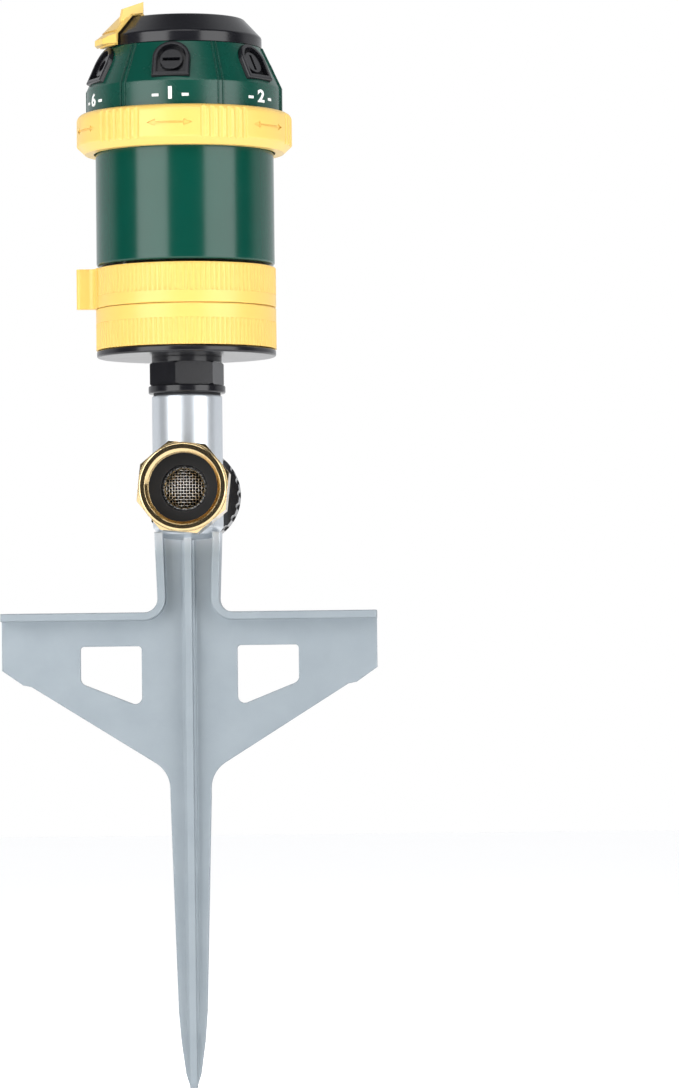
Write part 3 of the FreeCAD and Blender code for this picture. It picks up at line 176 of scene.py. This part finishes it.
def cast_metal():
    """Silver-painted casting: grainy on the spike and wings, smoother on the riser, whose brighter
    silver colour is a painted sheen standing in for its reflections.
    """
    material, nodes = new_material("cast_metal")
    above = nodes.step(nodes.height(), 0.020, 0.032)
    mottle = nodes.noise(60.0, detail=5.0)
    plate = nodes.blend(mottle, rgba(0.285, 0.33, 0.365), rgba(0.365, 0.41, 0.445))
    # painted sheen: the riser's brighter silver stands in for reflections on the same grey-silver
    # paint as the plate
    tube = nodes.blend(mottle, rgba(0.58, 0.62, 0.66), rgba(0.68, 0.72, 0.76))
    colour = nodes.blend(above, plate, tube)
    rough_plate = nodes.ramp(nodes.noise(320.0), 0.42, 0.56)
    roughness = nodes.add("ShaderNodeMix", {"data_type": "FLOAT"})
    nodes.feed(roughness, 0, above)
    nodes.feed(roughness, 2, rough_plate)
    nodes.feed(roughness, 3, 0.31)
    finish_material(nodes, colour, roughness.outputs[0], metallic=0.75, edge=0.0009,
                    bump=nodes.noise(1100.0, detail=4.0), strength=0.16)
    return material


def green_plastic():
    """Glossy green on the barrel, a little duller on the turret above it."""
    material, nodes = new_material("green_barrel")
    turret = nodes.step(nodes.height(), 0.168, 0.176)
    colour = nodes.blend(nodes.noise(45.0), rgba(0.0, 0.046, 0.030), rgba(0.0, 0.060, 0.041))
    roughness = nodes.add("ShaderNodeMix", {"data_type": "FLOAT"})
    nodes.feed(roughness, 0, turret)
    nodes.feed(roughness, 2, nodes.ramp(nodes.noise(160.0), 0.16, 0.21))
    nodes.feed(roughness, 3, nodes.ramp(nodes.noise(160.0), 0.24, 0.30))
    finish_material(nodes, colour, roughness.outputs[0], bump=nodes.noise(900.0), strength=0.02,
                    edge=0.0004)
    return material


def make_materials():
    """One material for each of the record's slots."""
    return {
        "cast_metal": cast_metal(),
        "brass": metal("brass", (0.76, 0.56, 0.28), (0.86, 0.67, 0.38), 0.07, 0.13),
        "bronze": metal("bronze", (0.45, 0.26, 0.10), (0.58, 0.36, 0.16), 0.35, 0.5),
        "stainless": metal("stainless", (0.55, 0.55, 0.56), (0.72, 0.72, 0.72), 0.2, 0.34,
                           stretch=(1, 1, 6)),
        "rubber": plastic("rubber", (0.008, 0.009, 0.011), (0.016, 0.017, 0.020), 0.5, 0.68,
                          strength=0.16, Specular_IOR_Level=0.35),
        "black_plastic": plastic("black_plastic", (0.006, 0.006, 0.008), (0.012, 0.012, 0.015),
                                 0.16, 0.22, Specular_IOR_Level=0.44),
        "yellow_plastic": plastic("yellow_plastic", (0.80, 0.53, 0.125), (0.86, 0.57, 0.140),
                                  0.28, 0.38),
        "green_barrel": green_plastic(),
        "white_plastic": plastic("white_plastic", (0.76, 0.76, 0.72), (0.86, 0.86, 0.82), 0.4, 0.55),
        "grey_plastic": plastic("grey_plastic", (0.20, 0.21, 0.23), (0.28, 0.29, 0.31), 0.4, 0.55),
        "print_white": plastic("print_white", (0.84, 0.86, 0.84), (0.92, 0.93, 0.92), 0.4, 0.5),
    }


def dress(materials):
    """Each CAD node takes the material of its slot."""
    for name, item in frame["nodes"].items():
        material = materials[SLOT_OF[name]]
        if not item.material_slots:
            item.data.materials.append(material)
        for place in item.material_slots:
            place.material = material


# ---------------------------------------------------------------- new pieces

def add_mesh(name, vertices, faces, material, smooth=True):
    mesh = bpy.data.meshes.new(name)
    mesh.from_pydata(vertices, [], faces)
    mesh.materials.append(material)
    mesh.polygons.foreach_set("use_smooth", [smooth] * len(mesh.polygons))
    mesh.validate()
    item = bpy.data.objects.new(name, mesh)
    bpy.context.scene.collection.objects.link(item)
    return item


def box_middle(node):
    low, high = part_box(node)
    return (Vector(low) + Vector(high)) / 2


def tube(path, radius, sides, vertices, faces):
    """Add one round wire with closed ends along a path to growing lists."""
    first = len(vertices)
    count = len(path)
    for index, point in enumerate(path):
        before = path[max(index - 1, 0)]
        after = path[min(index + 1, count - 1)]
        along = (after - before).normalized()
        side = along.cross(Vector((0.31, 0.2, 0.93))).normalized()
        up = along.cross(side)
        for corner in range(sides):
            turn = 2 * math.pi * corner / sides
            vertices.append(point + radius * (math.cos(turn) * side + math.sin(turn) * up))
    for ring in range(count - 1):
        for corner in range(sides):
            a = first + ring * sides + corner
            b = first + ring * sides + (corner + 1) % sides
            faces.append((a, b, b + sides, a + sides))
    faces.append(tuple(first + corner for corner in reversed(range(sides))))
    last = first + (count - 1) * sides
    faces.append(tuple(last + corner for corner in range(sides)))


def woven_screen(materials):
    """Inlet screen: a dome of woven wires that stands on a flat rim under the hose washer."""
    low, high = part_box("inlet_screen")
    centre = box_middle("inlet_screen")
    front, back = low[1], high[1]
    wire = 0.15 * MM
    pitch = 1.05 * MM
    dome = 8.0 * MM
    mouth = 7.7 * MM
    ball = dome - 2 * wire
    ball_y = front + dome
    reach = mouth - wire
    sides = 6
    vertices, faces = [], []

    def on_dome(across, up, lift):
        depth = math.sqrt(max(ball * ball - across * across - up * up, 0.0))
        outward = Vector((across, -depth, up)).normalized()
        base = Vector((centre.x, ball_y, centre.z)) + Vector((across, -depth, up))
        return base + outward * lift

    wires = int(reach / pitch)
    for number in range(-wires, wires + 1):
        offset = number * pitch
        half = math.sqrt(reach * reach - offset * offset)
        steps = max(8, int(half / pitch) * 8)
        warp, weft = [], []
        for step in range(steps + 1):
            run = -half + 2 * half * step / steps
            wave = 0.85 * wire * math.cos(math.pi * run / pitch) * (1 if number % 2 else -1)
            warp.append(on_dome(run, offset, wave))
            weft.append(on_dome(offset, run, -wave))
        tube(warp, wire, sides, vertices, faces)
        tube(weft, wire, sides, vertices, faces)
    rim_outline = [(7.3, 0.45), (7.75, 0.05), (11.4, 0.05), (11.4, 0.35), (7.9, 0.35), (7.5, 0.7)]
    add_ring(rim_outline, back, centre, vertices, faces)
    screen = add_mesh("woven_screen", vertices, faces, materials["stainless"])
    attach(screen, "base")
    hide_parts("inlet_screen")


def add_ring(outline, back, centre, vertices, faces, sides=72):
    """A closed ring about the inlet's axis; the outline holds (radius, height over the back)."""
    first = len(vertices)
    count = len(outline)
    for index in range(sides):
        turn = 2 * math.pi * index / sides
        for radius, rise in outline:
            spot = Vector((math.cos(turn), 0, math.sin(turn))) * radius * MM
            vertices.append(Vector((centre.x, back - rise * MM, centre.z)) + spot)
    for index in range(sides):
        for corner in range(count):
            a = first + index * count + corner
            b = first + index * count + (corner + 1) % count
            c = first + (index + 1) % sides * count + (corner + 1) % count
            d = first + (index + 1) % sides * count + corner
            faces.append((a, d, c, b))


def numerals(materials):
    """A printed number between two dashes on the turret's band under each nozzle."""
    ring_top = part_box("pattern_ring")[1][2]
    bezel_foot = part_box("bezel_flat")[0][2]
    middle = (ring_top + bezel_foot) / 2 - 0.8 * MM
    widening = 1.3
    low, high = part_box("turret_floor")
    radius = (high[0] - low[0]) / 2 + 0.4 * MM
    for index, kind in enumerate(NOZZLES):
        spot = box_middle("bezel_" + kind)
        angle = math.atan2(spot.y, spot.x)
        curve = bpy.data.curves.new("numeral", "FONT")
        curve.body = f"- {index + 1} -"
        curve.size = 6.1 * MM
        curve.offset = 0.22 * MM
        curve.align_x = "CENTER"
        curve.align_y = "CENTER"
        curve.extrude = 0.06 * MM
        curve.resolution_u = 6
        item = bpy.data.objects.new("numeral", curve)
        mesh = bpy.data.meshes.new_from_object(item)
        bpy.data.objects.remove(item)
        for vertex in mesh.vertices:
            across, up, out = vertex.co
            across *= widening
            turn = angle + across / radius
            reach = radius + out + 0.02 * MM
            vertex.co = (reach * math.cos(turn), reach * math.sin(turn), middle + up)
        mesh.materials.clear()
        mesh.materials.append(materials["print_white"])
        label = bpy.data.objects.new(f"numeral_{index + 1}", mesh)
        bpy.context.scene.collection.objects.link(label)
        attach(label, "turret")


# ---------------------------------------------------------------- stage

def add_camera():
    """Two metres away and a little below the riser, looking slightly up."""
    distance = 2.0
    turn = math.radians(3.0)
    right = Vector((math.cos(turn), math.sin(turn), 0))
    spot = Vector((distance * math.sin(turn), -distance * math.cos(turn), -0.050))
    target = Vector((0, 0, 0.0243)) + right * 0.0549
    data = bpy.data.cameras.new("camera")
    data.lens = 182.0
    data.sensor_width = 36.0
    data.clip_end = 50.0
    camera = bpy.data.objects.new("camera", data)
    facing = (target - spot).to_track_quat("-Z", "Y").to_matrix().to_4x4()
    roll = Matrix.Rotation(math.radians(-0.65), 4, "Z")
    camera.matrix_world = Matrix.Translation(spot) @ facing @ roll
    bpy.context.scene.collection.objects.link(camera)
    bpy.context.scene.camera = camera


def add_softbox(name, angle, distance, height, wide, tall, power):
    """A soft rectangular light at an angle round the object, aimed at the barrel."""
    data = bpy.data.lights.new(name, "AREA")
    data.shape = "RECTANGLE"
    data.size = wide
    data.size_y = tall
    data.energy = power
    light = bpy.data.objects.new(name, data)
    turn = math.radians(angle)
    light.location = (distance * math.cos(turn), distance * math.sin(turn), height)
    aim = Vector((0, 0, 0.10)) - light.location
    light.rotation_euler = aim.to_track_quat("-Z", "Y").to_euler()
    bpy.context.scene.collection.objects.link(light)


def add_world():
    """White surroundings at the sides and behind the object, darker in front of it."""
    world = bpy.data.worlds.new("studio")
    world.use_nodes = True
    bpy.context.scene.world = world
    nodes = Nodes(world.node_tree)
    direction = nodes.add("ShaderNodeTexCoord").outputs["Generated"]
    split = nodes.add("ShaderNodeSeparateXYZ", Vector=direction)
    behind = nodes.step(split.outputs["Y"], 0.0, 0.35)
    glow = nodes.blend(behind, rgba(0.05, 0.052, 0.056), rgba(0.75, 0.76, 0.78))
    seen = nodes.add("ShaderNodeLightPath").outputs["Is Camera Ray"]
    colour = nodes.blend(seen, glow, rgba(1.0, 1.0, 1.0))
    background = nodes.add("ShaderNodeBackground", Color=colour, Strength=1.0)
    output = nodes.add("ShaderNodeOutputWorld")
    nodes.feed(output, "Surface", background.outputs[0])


def add_floor():
    """A pale floor just under the spike's tip."""
    level = CAD_BOX[0][2] - 0.002
    half = 6.0
    corners = [(-half, -half, level), (half, -half, level), (half, half, level), (-half, half, level)]
    material, nodes = new_material("floor")
    colour = nodes.blend(nodes.noise(3.0), rgba(0.94, 0.94, 0.94), rgba(0.97, 0.97, 0.97))
    finish_material(nodes, colour, 0.9, Emission_Color=rgba(1.0, 1.0, 1.0), Emission_Strength=0.64)
    floor = add_mesh("floor", corners, [(0, 1, 2, 3)], material, smooth=False)


def add_stage():
    add_camera()
    add_world()
    add_floor()
    add_softbox("left_softbox", -130, 1.3, 0.25, 1.0, 1.3, 14)
    add_softbox("right_softbox", -41, 1.3, 0.25, 1.0, 1.3, 13)
    add_softbox("top_softbox", -90, 1.2, 1.3, 1.2, 0.8, 8)
    bpy.context.scene.view_settings.view_transform = "Standard"
    bpy.context.scene.view_settings.look = "None"


# ---------------------------------------------------------------- the scene

add_stage()
slots = make_materials()
dress(slots)
woven_screen(slots)
numerals(slots)
